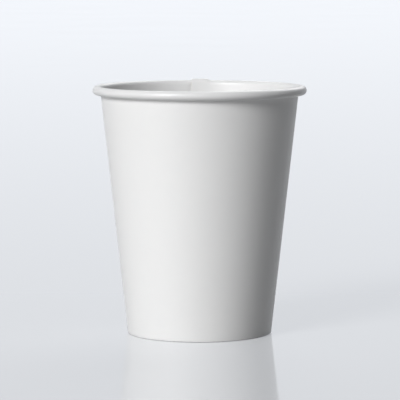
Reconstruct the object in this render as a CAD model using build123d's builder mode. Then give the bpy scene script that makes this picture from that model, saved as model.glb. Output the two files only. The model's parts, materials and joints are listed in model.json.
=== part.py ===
"""Single-wall paper cup for hot drinks, made of two pieces of coated board.

The sidewall is one wrapped blank: its two edges lap at the back, its top is rolled
outwards into the rim, and its foot is folded in and up round the skirt of the bottom.
Millimetres and degrees. +Z is up, the cup's axis is Z, and it stands on Z = 0.
"""

from build123d import *
from math import asin, atan2, cos, degrees, radians, sin, sqrt, tan
import os

# The cup
rim_diameter = 80.0  # over the rolled rim
foot_diameter = 54.0  # over the fold that the cup stands on
cup_height = 92.8  # from the table to the top of the rim

# The board
wall_board = 0.40  # thickness of the sidewall blank
bottom_board = 0.30  # thickness of the bottom disc
seal_gap = 0.02  # film of melted coating between the faces sealed in the hem

# The rolled rim
roll_height = 3.3  # over the roll's section
roll_turn = 225.0  # turn from the wall over the top to where the tuck begins
tuck_turn = 180.0  # further turn of the tucked edge inside the roll
tuck_gap = 0.05  # between the tucked layer and the wall that it passes

# The foot
foot_pressing = 0.08  # depth pressed flat under the fold
floor_height = 7.0  # from the table to the upper face of the bottom
floor_bend = 0.55  # bend radius of the skirt, at the middle of the board
skirt_lift = 0.30  # from the fold's centre up to the skirt's cut edge
hem_margin = 0.30  # from the hem's cut edge up to the bend of the skirt

# The side seam, at the back of the cup
lap_width = 6.0  # overlap of the blank's two edges
lap_ramp = 3.0  # over which the outer layer comes down onto the wall
lap_step = 0.34  # height of a lapped edge over the layer that it is sealed to
lap_swell = 0.20  # growth of the roll's radius where it holds both layers

# Middle line of the sheet: a fold at the foot, a straight wall and a roll at the rim.
# The wall is tangent to the outside of the fold and to the inside of the roll.
roll_radius = roll_height / 2
roll_bend = roll_radius - wall_board / 2
fold_bend = (wall_board + bottom_board) / 2 + seal_gap
fold_radius = fold_bend + wall_board / 2
roll_centre = Vector(rim_diameter / 2 - roll_radius, cup_height - roll_radius)
fold_centre = Vector(foot_diameter / 2 - fold_radius, fold_radius - foot_pressing)
rise = roll_centre - fold_centre
lean = atan2(rise.X, rise.Y) - asin((roll_bend + fold_bend) / rise.length)
up = Vector(sin(lean), cos(lean))
outward = Vector(cos(lean), -sin(lean))
wall_top = roll_centre - outward * roll_bend

# The tucked edge has the bend that just lets it pass the wall's outer face
tuck_bend = roll_bend - (wall_board + tuck_gap) / (1 - cos(radians(roll_turn)))

# The skirt of the bottom hangs in the middle of the fold, and the hem ends under its bend
floor_middle = floor_height - bottom_board / 2
floor_corner = fold_centre + up * ((floor_middle - fold_centre.Y) / cos(lean))
skirt_end = fold_centre + up * skirt_lift
hem_top = floor_middle - floor_bend - hem_margin
hem_length = (hem_top - fold_centre.Y) / cos(lean)

# Places of the side seam, where the outer layer's cut edge is at positive X. That layer
# runs from just above the fold up into the tucked edge.
lap_edge = lap_width / 2
lap_foot = -lap_edge - lap_ramp
lap_bottom = 2 * fold_radius
lap_top = roll_centre.Y - wall_board
lap_angle = degrees(lap_width / roll_centre.X)


def wall_radius(height, side):
    """Radius of the wall's outer (side 1), middle (0) or inner (-1) face at a height."""
    to_face = fold_bend + side * wall_board / 2
    return fold_centre.X + to_face / cos(lean) + (height - fold_centre.Y) * tan(lean)


def at_back(x, radius):
    """Point at the back of the cup, a distance x to the side and a radius from the axis."""
    return Vector(x, sqrt(radius**2 - x**2))


with BuildPart() as sidewall:
    # Sheet, traced from the hem's cut edge down, up the wall and round to the tuck
    with BuildSketch(Plane.XZ):
        with BuildLine():
            fold_start = fold_centre - outward * fold_bend
            Line(fold_start + up * hem_length, fold_start)
            fold = JernArc(fold_start, -up, fold_bend, 180)
            wall = Line(fold @ 1, wall_top)
            roll = JernArc(wall @ 1, up, roll_bend, -roll_turn)
            JernArc(roll @ 1, roll % 1, tuck_bend, -tuck_turn)
        trace(line_width=wall_board)
    revolve(axis=Axis.Z)

    # Outer layer of the seam, which steps off at its cut edge and ramps down at the other
    for height in (lap_bottom, lap_top):
        middle = wall_radius(height, 0)
        face = wall_radius(height, 1)
        with BuildSketch(Plane.XY.offset(height)):
            with BuildLine():
                cut = Line(at_back(lap_edge, middle), at_back(lap_edge, face + lap_step))
                over = RadiusArc(cut @ 1, at_back(-lap_edge, face + lap_step), -face - lap_step)
                ramp = Line(over @ 1, at_back(lap_foot, face))
                root = Line(ramp @ 1, at_back(lap_foot, middle))
                RadiusArc(root @ 1, cut @ 0, middle)
            make_face()
    loft(ruled=True)

    # The inner layer ends in the same step, on the inside face
    for height in (floor_height, wall_top.Y):
        face = wall_radius(height, -1)
        with BuildSketch(Plane.XY.offset(height)):
            with BuildLine():
                Polyline(
                    at_back(-lap_edge, face - lap_step),
                    at_back(-lap_edge, face + lap_step),
                    at_back(lap_foot, face),
                    at_back(lap_foot, face - lap_step),
                    close=True,
                )
            make_face()
    loft(ruled=True, mode=Mode.SUBTRACT)

    # Both layers in the roll, standing up and out from the rest of the rim
    with BuildSketch(Plane.XZ.rotated((0, 0, 90 - lap_angle / 2))):
        with Locations(roll_centre + Vector(lap_swell, lap_swell)):
            Circle(roll_radius + lap_swell)
            Circle(roll_radius + lap_swell - 2 * wall_board, mode=Mode.SUBTRACT)
    revolve(axis=Axis.Z, revolution_arc=lap_angle)

    # Flat ring that the cup stands on
    split(bisect_by=Plane.XY, keep=Keep.TOP)

with BuildPart() as bottom:
    with BuildSketch(Plane.XZ):
        with BuildLine():
            FilletPolyline((0, floor_middle), floor_corner, skirt_end, radius=floor_bend)
        trace(line_width=bottom_board)
    revolve(axis=Axis.Z)

os.makedirs("parts", exist_ok=True)
sidewall.part.label = "sidewall"
export_step(sidewall.part, "parts/sidewall.step")
bottom.part.label = "bottom"
export_step(bottom.part, "parts/bottom.step")
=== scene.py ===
import bpy
import json
from math import asin, atan2, cos, pi, radians, sin
from mathutils import Euler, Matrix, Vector


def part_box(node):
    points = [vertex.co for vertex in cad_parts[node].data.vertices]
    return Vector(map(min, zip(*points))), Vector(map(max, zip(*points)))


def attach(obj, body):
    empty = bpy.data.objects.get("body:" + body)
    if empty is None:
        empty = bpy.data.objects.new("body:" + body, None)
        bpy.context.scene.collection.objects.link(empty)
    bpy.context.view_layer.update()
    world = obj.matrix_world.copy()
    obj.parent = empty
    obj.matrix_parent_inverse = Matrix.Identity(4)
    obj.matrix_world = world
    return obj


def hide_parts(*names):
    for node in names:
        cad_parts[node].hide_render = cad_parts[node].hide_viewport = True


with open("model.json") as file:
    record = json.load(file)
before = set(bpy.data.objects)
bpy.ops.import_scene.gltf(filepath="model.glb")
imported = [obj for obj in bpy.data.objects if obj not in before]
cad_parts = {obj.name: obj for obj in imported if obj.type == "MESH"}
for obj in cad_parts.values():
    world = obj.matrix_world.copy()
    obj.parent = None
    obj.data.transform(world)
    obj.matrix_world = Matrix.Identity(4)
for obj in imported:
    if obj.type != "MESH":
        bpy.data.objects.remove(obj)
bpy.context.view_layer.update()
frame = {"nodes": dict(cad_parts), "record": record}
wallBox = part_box("sidewall")
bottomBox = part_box("bottom")
mounts = {mount["name"]: mount for mount in frame["record"]["mounts"]}
mm = 0.001
print("frame loaded:", sorted(frame["nodes"]))


# one node, with its settings and inputs: a value, a link, or a node for its first output
def addNode(tree, kind, inputs=None, **settings):
    node = tree.nodes.new(kind)
    for name, value in settings.items():
        setattr(node, name, value)
    for key, value in (inputs or {}).items():
        if isinstance(value, bpy.types.Node):
            value = value.outputs[0]
        if isinstance(value, bpy.types.NodeSocket):
            tree.links.new(value, node.inputs[key])
        else:
            node.inputs[key].default_value = value
    return node


# sRGB hex to the linear colour that the shaders take
def colour(hexCode):
    channels = [int(hexCode[i:i + 2], 16) / 255 for i in (1, 3, 5)]
    linear = [c / 12.92 if c <= 0.04045 else ((c + 0.055) / 1.055) ** 2.4 for c in channels]
    return (*linear, 1.0)


def newTree(name):
    material = bpy.data.materials.new(name)
    material.use_nodes = True
    material.node_tree.nodes.clear()
    return material, material.node_tree


# Paper board is a felt of wood fibres. The eye sees a nearly even white, with a faint
# cloudiness a few millimetres across, and a fine tooth where light grazes it.
felt = {
    "fibre": 0.45,  # mm, several times as coarse as real fibres, so that it shows
    "fibreDetail": 2.0,
    "cloud": 5.0,  # mm between thick and thin places
    "cloudDetail": 3.0,
    "sheenSpread": 0.04,  # roughness, either side of its middle value
    "coatingIOR": 1.5,
}


# takes two close tints, then roughness, specular level and the depth of the tooth in mm
def boardMaterial(name, light, dark, roughness, specular, toothDepth):
    material, tree = newTree(name)
    place = addNode(tree, "ShaderNodeTexCoord").outputs["Object"]
    clouds = addNode(tree, "ShaderNodeTexNoise", {
        "Vector": place, "Scale": 1 / (felt["cloud"] * mm), "Detail": felt["cloudDetail"]})
    fibres = addNode(tree, "ShaderNodeTexNoise", {
        "Vector": place, "Scale": 1 / (felt["fibre"] * mm), "Detail": felt["fibreDetail"]})
    # inputs 6 and 7 are the Mix node's two colours, and output 2 is the mixed one
    tint = addNode(tree, "ShaderNodeMix", {
        0: clouds, 6: colour(dark), 7: colour(light)}, data_type="RGBA")
    sheen = addNode(tree, "ShaderNodeMapRange", {
        "Value": fibres, "To Min": roughness - felt["sheenSpread"],
        "To Max": roughness + felt["sheenSpread"]})
    tooth = addNode(tree, "ShaderNodeBump", {"Height": fibres, "Distance": toothDepth * mm})
    surface = addNode(tree, "ShaderNodeBsdfPrincipled", {
        "Base Color": tint.outputs[2], "Roughness": sheen,
        "IOR": felt["coatingIOR"], "Specular IOR Level": specular, "Normal": tooth})
    addNode(tree, "ShaderNodeOutputMaterial", {"Surface": surface})
    return material


# outside of the blank, calendered and machine-glazed: an even white with a soft highlight
glazedBoard = boardMaterial("machineGlazedPaperboard", "#F1F1F1", "#EDEDED", 0.34, 0.5, 0.006)
# inside of the cup, with extruded polyethylene over the board: a waxy film that fills the
# tooth, and a touch whiter
coatedBoard = boardMaterial(
    "polyethyleneCoatedPaperboard", "#FAFAF9", "#F7F7F7", 0.42, 0.5, 0.004)
# guillotined or die-cut edge: the bare core of the board, rough and a little creamier
cutBoard = boardMaterial("dieCutPaperboardEdge", "#E9E6DF", "#DDD9D0", 0.85, 0.2, 0.02)
print("board materials made")


# Sizes of the wrapped blank, in mm and degrees, then how finely it is divided
blank = {
    "board": 0.40,
    "skirtBoard": 0.30,
    "sealGap": 0.02,
    "rollHeight": 3.3,
    "rollTurn": 225.0,
    "tuckTurn": 180.0,
    "tuckGap": 0.05,
    "footPressing": 0.08,
    "floorBend": 0.55,
    "hemMargin": 0.30,
    "lapWidth": 6.0,
    "lapRamp": 3.0,
    "lapStep": 0.34,
    "lapSwell": 0.30,  # growth of the roll's radius where it holds both layers
    "rollRamp": 0.8,  # width of the ramp in the roll, where the wall's is lapRamp
    "rollEase": 2.5,  # length of wall below the roll in which the ramps change over
    "rimBump": 0.40,  # how far the solid part's rim stands up at the seam
    "liftReach": 5.0,  # length of wall that the two layers in the fold still lift
    "knurls": 80,
    "knurlDepth": 0.14,
    "knurlFade": 0.9,  # at both ends of the pressed band
    "waviness": 0.05,  # how far the wall strays from a true cone
    "waveLength": 24.0,
    "waveSeed": 3,
    "columns": 480,
    "hemRows": 9,
    "foldRows": 12,
    "wallRows": 26,
    "rollRows": 25,
    "tuckRows": 14,
}


def turned(ray, angle):
    return Vector((ray.x * cos(angle) - ray.y * sin(angle),
                   ray.x * sin(angle) + ray.y * cos(angle)))


# Places in the section that both pieces of board share
def hemFacts(b):
    foldBend = (b["board"] + b["skirtBoard"]) / 2 + b["sealGap"]
    rollBend = (b["rollHeight"] - b["board"]) / 2
    rimRadius = (wallBox[1].x - wallBox[0].x) / 2 / mm
    cupHeight = wallBox[1].z / mm - b["rimBump"]
    rollCentre = Vector((rimRadius, cupHeight)) - Vector((1, 1)) * (b["rollHeight"] / 2)
    foldCentre = Vector((mounts["foot"]["pos_m"][0] / mm,
                         foldBend + b["board"] / 2 - b["footPressing"]))
    rise = rollCentre - foldCentre
    lean = atan2(rise.x, rise.y) - asin((rollBend + foldBend) / rise.length)
    floorMiddle = bottomBox[1].z / mm - b["skirtBoard"] / 2
    return foldBend, rollBend, rollCentre, foldCentre, lean, floorMiddle


# Middle line of the sheet, from the hem's cut edge round the fold, up the wall, over the
# roll and into the tuck. With each point go the sheet's outside normal, the way that the
# seam swells the roll there, its shares of seam lift, knurl and waviness, and how far it
# has come from the wall (0) to the roll (1).
def sheetSection(b):
    foldBend, rollBend, rollCentre, foldCentre, lean, floorMiddle = hemFacts(b)
    up = Vector((sin(lean), cos(lean)))
    out = Vector((cos(lean), -sin(lean)))
    flat = Vector((0, 0))
    hemTop = floorMiddle - b["floorBend"] - b["hemMargin"]
    hemLength = (hemTop - foldCentre.y) / cos(lean)
    points = []
    for i in range(b["hemRows"]):
        along = hemLength * (1 - i / b["hemRows"])
        knurl = min(along / b["knurlFade"], (hemLength - along) / b["knurlFade"], 1)
        points.append((foldCentre - out * foldBend + up * along, -out, flat, (1, knurl, 0), 0))
    for i in range(b["foldRows"]):
        ray = turned(-out, pi * i / b["foldRows"])
        points.append((foldCentre + ray * foldBend, ray, flat, (1, 0, 0), 0))
    wallStart = foldCentre + out * foldBend
    wallTop = rollCentre - out * rollBend
    wallLength = (wallTop - wallStart).length
    for i in range(b["wallRows"]):
        share = (1 - cos(pi * i / b["wallRows"])) / 2
        fade = max(0, 1 - share * wallLength / b["liftReach"])
        lift = fade * fade * (3 - 2 * fade)
        inRoll = max(0, 1 - (1 - share) * wallLength / b["rollEase"])
        points.append((wallStart.lerp(wallTop, share), out, Vector((0, share)),
                       (lift, 0, 4 * share * (1 - share)), inRoll))
    rollEnd = turned(-out, -radians(b["rollTurn"]))
    for i in range(b["rollRows"]):
        ray = turned(-out, -radians(b["rollTurn"]) * i / b["rollRows"])
        points.append((rollCentre + ray * rollBend, -ray, ray + Vector((1, 1)), (0, 0, 0), 1))
    tuckBend = rollBend - (b["board"] + b["tuckGap"]) / (1 - cos(radians(b["rollTurn"])))
    tuckCentre = rollCentre + rollEnd * (rollBend - tuckBend)
    for i in range(b["tuckRows"] + 1):
        ray = turned(rollEnd, -radians(b["tuckTurn"]) * i / b["tuckRows"])
        points.append((tuckCentre + ray * tuckBend, -ray, ray + Vector((1, 1)), (0, 0, 0), 1))
    return points


def sectionMesh(points):
    mesh = bpy.data.meshes.new("sheetSection")
    middles, outsides, swells, shares, inRoll = zip(*points)
    mesh.from_pydata([(p.x * mm, 0, p.y * mm) for p in middles],
                     [(i, i + 1) for i in range(len(points) - 1)], [])
    rows = {"outside": [(n.x, 0, n.y) for n in outsides],
            "swell": [(s.x, 0, s.y) for s in swells],
            "shares": shares}
    for name, values in rows.items():
        data = mesh.attributes.new(name, "FLOAT_VECTOR", "POINT").data
        for i, value in enumerate(values):
            data[i].vector = value
    mesh.attributes.new("inRoll", "FLOAT", "POINT").data.foreach_set("value", inRoll)
    return mesh


# Wraps a section round the axis as one strip of board. The strip starts as the inner
# layer of the seam and ends as the outer one, so it is a lap longer than the way round.
def wrapTree():
    tree = bpy.data.node_groups.new("wrapBlank", "GeometryNodeTree")
    kinds = {"Geometry": "Geometry", "Columns": "Int", "Lap Width": "Float",
             "Lap Ramp": "Float", "Roll Ramp": "Float", "Lap Step": "Float",
             "Lap Swell": "Float", "Knurls": "Int", "Knurl Depth": "Float",
             "Waviness": "Float", "Wave Length": "Float", "Wave Seed": "Float",
             "Board": "Material"}
    for name, kind in kinds.items():
        tree.interface.new_socket(name, in_out="INPUT", socket_type="NodeSocket" + kind)
    tree.interface.new_socket("Geometry", in_out="OUTPUT", socket_type="NodeSocketGeometry")
    given = addNode(tree, "NodeGroupInput").outputs
    section = given["Geometry"]
    mathNode = "ShaderNodeMath"
    vectorNode = "ShaderNodeVectorMath"

    # a grid with a row for each point of the section, and what the section says there
    size = addNode(tree, "GeometryNodeAttributeDomainSize", {"Geometry": section})
    rows = size.outputs["Point Count"]
    gridColumns = addNode(tree, mathNode, {0: given["Columns"], 1: 1.0})
    lastRow = addNode(tree, mathNode, {0: rows, 1: 1.0}, operation="SUBTRACT")
    grid = addNode(tree, "GeometryNodeMeshGrid", {"Vertices X": gridColumns, "Vertices Y": rows})
    spot = addNode(tree, "GeometryNodeInputPosition")
    cell = addNode(tree, "ShaderNodeSeparateXYZ", {"Vector": spot}).outputs
    across = addNode(tree, mathNode, {0: cell["X"], 1: 0.5})
    along = addNode(tree, mathNode, {0: cell["Y"], 1: 0.5})
    rowPlace = addNode(tree, mathNode, {0: along, 1: lastRow}, operation="MULTIPLY")
    row = addNode(tree, mathNode, {0: rowPlace}, operation="ROUND")
    stored = {"position": "FLOAT_VECTOR", "outside": "FLOAT_VECTOR", "swell": "FLOAT_VECTOR",
              "shares": "FLOAT_VECTOR", "inRoll": "FLOAT"}
    picked = {}
    for name, kind in stored.items():
        source = addNode(tree, "GeometryNodeInputNamedAttribute", {"Name": name}, data_type=kind)
        sample = addNode(tree, "GeometryNodeSampleIndex", {
            "Geometry": section, "Value": source.outputs["Attribute"], "Index": row},
            data_type=kind)
        picked[name] = sample.outputs["Value"]
    middle = addNode(tree, "ShaderNodeSeparateXYZ", {"Vector": picked["position"]}).outputs
    shares = addNode(tree, "ShaderNodeSeparateXYZ", {"Vector": picked["shares"]}).outputs

    # how far along the strip, from the middle of the lap at either end, and round the axis
    wayRound = addNode(tree, mathNode, {0: middle["X"], 1: 2 * pi}, operation="MULTIPLY")
    stripLength = addNode(tree, mathNode, {0: wayRound, 1: given["Lap Width"]})
    travelled = addNode(tree, mathNode, {0: across, 1: stripLength}, operation="MULTIPLY")
    halfLap = addNode(tree, mathNode, {0: given["Lap Width"], 1: 0.5}, operation="MULTIPLY")
    fromInner = addNode(tree, mathNode, {0: travelled, 1: halfLap}, operation="SUBTRACT")
    fromOuter = addNode(tree, mathNode, {0: fromInner, 1: wayRound}, operation="SUBTRACT")
    turn = addNode(tree, mathNode, {0: fromInner, 1: middle["X"]}, operation="DIVIDE")
    bearing = addNode(tree, mathNode, {0: pi / 2, 1: turn}, operation="SUBTRACT")

    # the outer layer's share of its step up, and the share of either layer's thickening
    ramp = addNode(tree, "ShaderNodeMapRange", {
        "Value": picked["inRoll"], "To Min": given["Lap Ramp"], "To Max": given["Roll Ramp"]})
    rampEnd = addNode(tree, mathNode, {0: halfLap, 1: ramp})
    innerGap = addNode(tree, mathNode, {0: fromInner}, operation="ABSOLUTE")
    outerGap = addNode(tree, mathNode, {0: fromOuter}, operation="ABSOLUTE")
    leastGap = addNode(tree, mathNode, {0: innerGap, 1: outerGap}, operation="MINIMUM")
    outerLayer = addNode(tree, "ShaderNodeMapRange", {
        "Value": outerGap, "From Min": rampEnd, "From Max": halfLap},
        interpolation_type="SMOOTHSTEP")
    double = addNode(tree, "ShaderNodeMapRange", {
        "Value": leastGap, "From Min": rampEnd, "From Max": halfLap},
        interpolation_type="SMOOTHSTEP")

    # the wall is a little out of true
    midPlace = addNode(tree, "ShaderNodeVectorRotate", {
        "Vector": picked["position"], "Angle": bearing}, rotation_type="Z_AXIS")
    waveScale = addNode(tree, mathNode, {0: 1.0, 1: given["Wave Length"]}, operation="DIVIDE")
    noise = addNode(tree, "ShaderNodeTexNoise", {
        "Vector": midPlace, "Scale": waveScale, "W": given["Wave Seed"], "Detail": 0.0},
        noise_dimensions="4D")
    uneven = addNode(tree, mathNode, {0: noise, 1: 0.5}, operation="SUBTRACT")
    waveHeight = addNode(tree, mathNode, {0: uneven, 1: given["Waviness"]}, operation="MULTIPLY")
    wave = addNode(tree, mathNode, {0: waveHeight, 1: shares["Z"]}, operation="MULTIPLY")

    # knurls stand on the hem
    knurlTurn = addNode(tree, mathNode, {0: turn, 1: given["Knurls"]}, operation="MULTIPLY")
    knurlWave = addNode(tree, mathNode, {0: knurlTurn}, operation="COSINE")
    knurlHeight = addNode(tree, "ShaderNodeMapRange", {
        "Value": knurlWave, "From Min": -1.0, "To Max": given["Knurl Depth"]})
    knurl = addNode(tree, mathNode, {0: knurlHeight, 1: shares["Y"]}, operation="MULTIPLY")

    # the outer layer lies on the inner one, and both swell the roll and lift the fold
    step = addNode(tree, mathNode, {0: outerLayer, 1: given["Lap Step"]}, operation="MULTIPLY")
    stepAndKnurl = addNode(tree, mathNode, {0: step, 1: knurl})
    offset = addNode(tree, mathNode, {0: stepAndKnurl, 1: wave})
    swelling = addNode(tree, mathNode, {0: double, 1: given["Lap Swell"]}, operation="MULTIPLY")
    thickening = addNode(tree, mathNode, {0: double, 1: given["Lap Step"]}, operation="MULTIPLY")
    lift = addNode(tree, mathNode, {0: thickening, 1: shares["X"]}, operation="MULTIPLY")
    outward = addNode(tree, vectorNode, {0: picked["outside"], "Scale": offset},
                      operation="SCALE")
    swollen = addNode(tree, vectorNode, {0: picked["swell"], "Scale": swelling},
                      operation="SCALE")
    lifted = addNode(tree, "ShaderNodeCombineXYZ", {"Z": lift})
    laid = addNode(tree, vectorNode, {0: picked["position"], 1: outward})
    rolled = addNode(tree, vectorNode, {0: laid, 1: swollen})
    raised = addNode(tree, vectorNode, {0: rolled, 1: lifted})
    endPlace = addNode(tree, "ShaderNodeVectorRotate", {
        "Vector": raised, "Angle": bearing}, rotation_type="Z_AXIS")

    wrapped = addNode(tree, "GeometryNodeSetPosition", {"Geometry": grid, "Position": endPlace})
    real = addNode(tree, "GeometryNodeRealizeInstances", {"Geometry": wrapped})
    painted = addNode(tree, "GeometryNodeSetMaterial", {
        "Geometry": real, "Material": given["Board"]})
    addNode(tree, "NodeGroupOutput", {"Geometry": painted})
    return tree


sharpAngle = 50  # degrees between faces, past which a cut edge stays crisp


# Gives a middle surface its board's thickness: first material outside, then inside, then
# cut edges. It is pressed flat where it would pass through the table.
def thicken(name, mesh, board, materials):
    sheet = bpy.data.objects.new(name, mesh)
    bpy.context.scene.collection.objects.link(sheet)
    mesh.materials.clear()
    for material in materials:
        mesh.materials.append(material)
    solid = sheet.modifiers.new("board", "SOLIDIFY")
    solid.thickness = board * mm
    solid.offset = 0
    solid.use_even_offset = True
    solid.material_offset = 1
    solid.material_offset_rim = 2
    sheet.data = bpy.data.meshes.new_from_object(
        sheet.evaluated_get(bpy.context.evaluated_depsgraph_get()))
    sheet.modifiers.clear()
    bpy.data.meshes.remove(mesh)
    for vertex in sheet.data.vertices:
        vertex.co.z = max(vertex.co.z, 0)
    sheet.data.name = name
    sheet.data.polygons.foreach_set("use_smooth", [True] * len(sheet.data.polygons))
    sheet.data.set_sharp_from_angle(angle=radians(sharpAngle))
    return sheet


def makeSidewall(b):
    source = bpy.data.objects.new("sheetSection", sectionMesh(sheetSection(b)))
    bpy.context.scene.collection.objects.link(source)
    tree = wrapTree()
    wrap = source.modifiers.new("wrapBlank", "NODES")
    wrap.node_group = tree
    values = {"Columns": b["columns"], "Lap Width": b["lapWidth"] * mm,
              "Lap Ramp": b["lapRamp"] * mm, "Lap Step": b["lapStep"] * mm,
              "Lap Swell": b["lapSwell"] * mm, "Roll Ramp": b["rollRamp"] * mm,
              "Knurls": b["knurls"],
              "Knurl Depth": b["knurlDepth"] * mm, "Waviness": b["waviness"] * mm,
              "Wave Length": b["waveLength"] * mm, "Wave Seed": float(b["waveSeed"]),
              "Board": glazedBoard}
    for item in tree.interface.items_tree:
        if item.name in values:
            wrap[item.identifier] = values[item.name]
    wrapped = bpy.data.meshes.new_from_object(
        source.evaluated_get(bpy.context.evaluated_depsgraph_get()))
    bpy.data.objects.remove(source)
    return thicken("wrappedSidewall", wrapped, b["board"], (glazedBoard, coatedBoard, cutBoard))


sidewall = makeSidewall(blank)
print("sidewall wrapped:", len(sidewall.data.polygons), "faces")


# The disc that is drawn down into a cup of its own, whose skirt the hem grips
disc = {
    "skirtLift": 0.30,
    "dish": 0.25,  # sag of the middle
    "segments": 192,
    "floorRows": 24,
    "bendRows": 8,
    "skirtRows": 6,
}


def discSection(b, d):
    _, _, _, foldCentre, lean, floorMiddle = hemFacts(b)
    up = Vector((sin(lean), cos(lean)))
    corner = foldCentre + up * ((floorMiddle - foldCentre.y) / cos(lean))
    setback = b["floorBend"] * (1 + sin(lean)) / cos(lean)
    bendCentre = corner - Vector((setback, b["floorBend"]))
    edge = corner.x - setback
    points = []
    for i in range(d["floorRows"]):
        share = i / d["floorRows"]
        points.append(Vector((edge * share, floorMiddle - d["dish"] * (1 - share ** 2) ** 2)))
    for i in range(d["bendRows"]):
        ray = turned(Vector((0, 1)), -(pi / 2 + lean) * i / d["bendRows"])
        points.append(bendCentre + ray * b["floorBend"])
    skirtTop = corner - up * setback
    skirtEnd = foldCentre + up * d["skirtLift"]
    for i in range(d["skirtRows"] + 1):
        points.append(skirtTop.lerp(skirtEnd, i / d["skirtRows"]))
    return points


# Rings of points round the middle one, joined by faces that look up and outwards
def makeBottom(b, d):
    middle, *rings = discSection(b, d)
    count = d["segments"]
    points = [(0, 0, middle.y * mm)]
    for ring in rings:
        for j in range(count):
            spot = turned(Vector((ring.x * mm, 0)), 2 * pi * j / count)
            points.append((spot.x, spot.y, ring.y * mm))
    faces = []
    for j in range(count):
        k = (j + 1) % count
        faces.append((0, 1 + j, 1 + k))
        for inner in range(1, 1 + (len(rings) - 1) * count, count):
            outer = inner + count
            faces.append((inner + j, outer + j, outer + k, inner + k))
    mesh = bpy.data.meshes.new("discMiddle")
    mesh.from_pydata(points, [], faces)
    return thicken("drawnBottom", mesh, b["skirtBoard"], (coatedBoard, glazedBoard, cutBoard))


bottom = makeBottom(blank, disc)
print("bottom drawn:", len(bottom.data.polygons), "faces")

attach(sidewall, "root")
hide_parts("sidewall")
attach(bottom, "root")
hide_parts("bottom")

for name, node in frame["nodes"].items():
    node.data.materials.clear()
    node.data.materials.append(glazedBoard)


# Pale floor, smooth enough for a faint soft reflection, and soft lamps. Azimuth, elevation
# and spread are in degrees, an azimuth from the camera's side of the cup and to the right.
studio = {
    "floorSize": 16.0,  # m
    "floorDrop": 0.02,  # mm under the foot, so that their faces don't share a plane
    "floorColour": "#949494",
    "floorRoughness": 0.08,
    "hazeSpread": 0.01,  # roughness, either side of its middle value
    "hazeScale": 6.0,  # per metre
    "floorGlow": 0.45,  # brightens the floor where it is seen, without lighting the cup
    "worldColour": "#D7DADF",
    "worldLight": 0.01,  # its strength as a light, where 1 is what is seen
    "lamps": {
        "keySoftbox": {"azimuth": -36, "elevation": 26, "strength": 2.15, "spread": 24},
        "lowSoftbox": {"azimuth": -50, "elevation": 6, "strength": 0.65, "spread": 30},
        "topSoftbox": {"azimuth": 20, "elevation": 72, "strength": 0.34, "spread": 60},
        "backSoftbox": {"azimuth": 165, "elevation": 38, "strength": 1.0, "spread": 44},
    },
}


# 1 for the rays that show the pale backdrop: from the camera, and mirrored or through glass
def backdropRays(tree):
    path = addNode(tree, "ShaderNodeLightPath").outputs
    bent = addNode(tree, "ShaderNodeMath", {
        0: path["Is Glossy Ray"], 1: path["Is Transmission Ray"]}, operation="MAXIMUM")
    return addNode(tree, "ShaderNodeMath", {0: path["Is Camera Ray"], 1: bent},
                   operation="MAXIMUM")


def makeFloor(s):
    mesh = bpy.data.meshes.new("floor")
    half = s["floorSize"] / 2
    low = -s["floorDrop"] * mm
    mesh.from_pydata([(-half, -half, low), (half, -half, low), (half, half, low),
                      (-half, half, low)], [], [(0, 1, 2, 3)])
    material, tree = newTree("paintedStudioFloor")
    place = addNode(tree, "ShaderNodeTexCoord").outputs["Object"]
    haze = addNode(tree, "ShaderNodeTexNoise", {"Vector": place, "Scale": s["hazeScale"]})
    sheen = addNode(tree, "ShaderNodeMapRange", {
        "Value": haze, "To Min": s["floorRoughness"] - s["hazeSpread"],
        "To Max": s["floorRoughness"] + s["hazeSpread"]})
    glow = addNode(tree, "ShaderNodeMath", {
        0: backdropRays(tree), 1: s["floorGlow"]}, operation="MULTIPLY")
    surface = addNode(tree, "ShaderNodeBsdfPrincipled", {
        "Base Color": colour(s["floorColour"]), "Roughness": sheen,
        "Emission Color": colour(s["worldColour"]), "Emission Strength": glow})
    addNode(tree, "ShaderNodeOutputMaterial", {"Surface": surface})
    mesh.materials.append(material)
    floor = bpy.data.objects.new("studioFloor", mesh)
    bpy.context.scene.collection.objects.link(floor)


def makeWorld(s):
    world = bpy.data.worlds.new("studio")
    world.use_nodes = True
    tree = world.node_tree
    tree.nodes.clear()
    strength = addNode(tree, "ShaderNodeMapRange", {
        "Value": backdropRays(tree), "To Min": s["worldLight"], "To Max": 1.0})
    light = addNode(tree, "ShaderNodeBackground", {
        "Color": colour(s["worldColour"]), "Strength": strength})
    addNode(tree, "ShaderNodeOutputWorld", {"Surface": light})
    bpy.context.scene.world = world


def makeLamp(name, lamp):
    data = bpy.data.lights.new(name, "SUN")
    data.energy = lamp["strength"]
    data.angle = radians(lamp["spread"])
    light = bpy.data.objects.new(name, data)
    light.rotation_euler = Euler((radians(90 - lamp["elevation"]), 0, radians(lamp["azimuth"])))
    bpy.context.scene.collection.objects.link(light)


makeFloor(studio)
makeWorld(studio)
for name, lamp in studio["lamps"].items():
    makeLamp(name, lamp)

# The camera, in mm and degrees
view = {
    "distance": 990.2,
    "height": 148.7,
    "pitch": 5.70,
    "lens": 238.7,
    "sideStep": 0.15,
}


def makeCamera(v):
    data = bpy.data.cameras.new("camera")
    data.lens = v["lens"]
    camera = bpy.data.objects.new("camera", data)
    camera.location = (v["sideStep"] * mm, -v["distance"] * mm, v["height"] * mm)
    camera.rotation_euler = (radians(90 - v["pitch"]), 0, 0)
    bpy.context.scene.collection.objects.link(camera)
    bpy.context.scene.camera = camera


makeCamera(view)
bpy.context.scene.view_settings.view_transform = "Standard"

print("scene done")
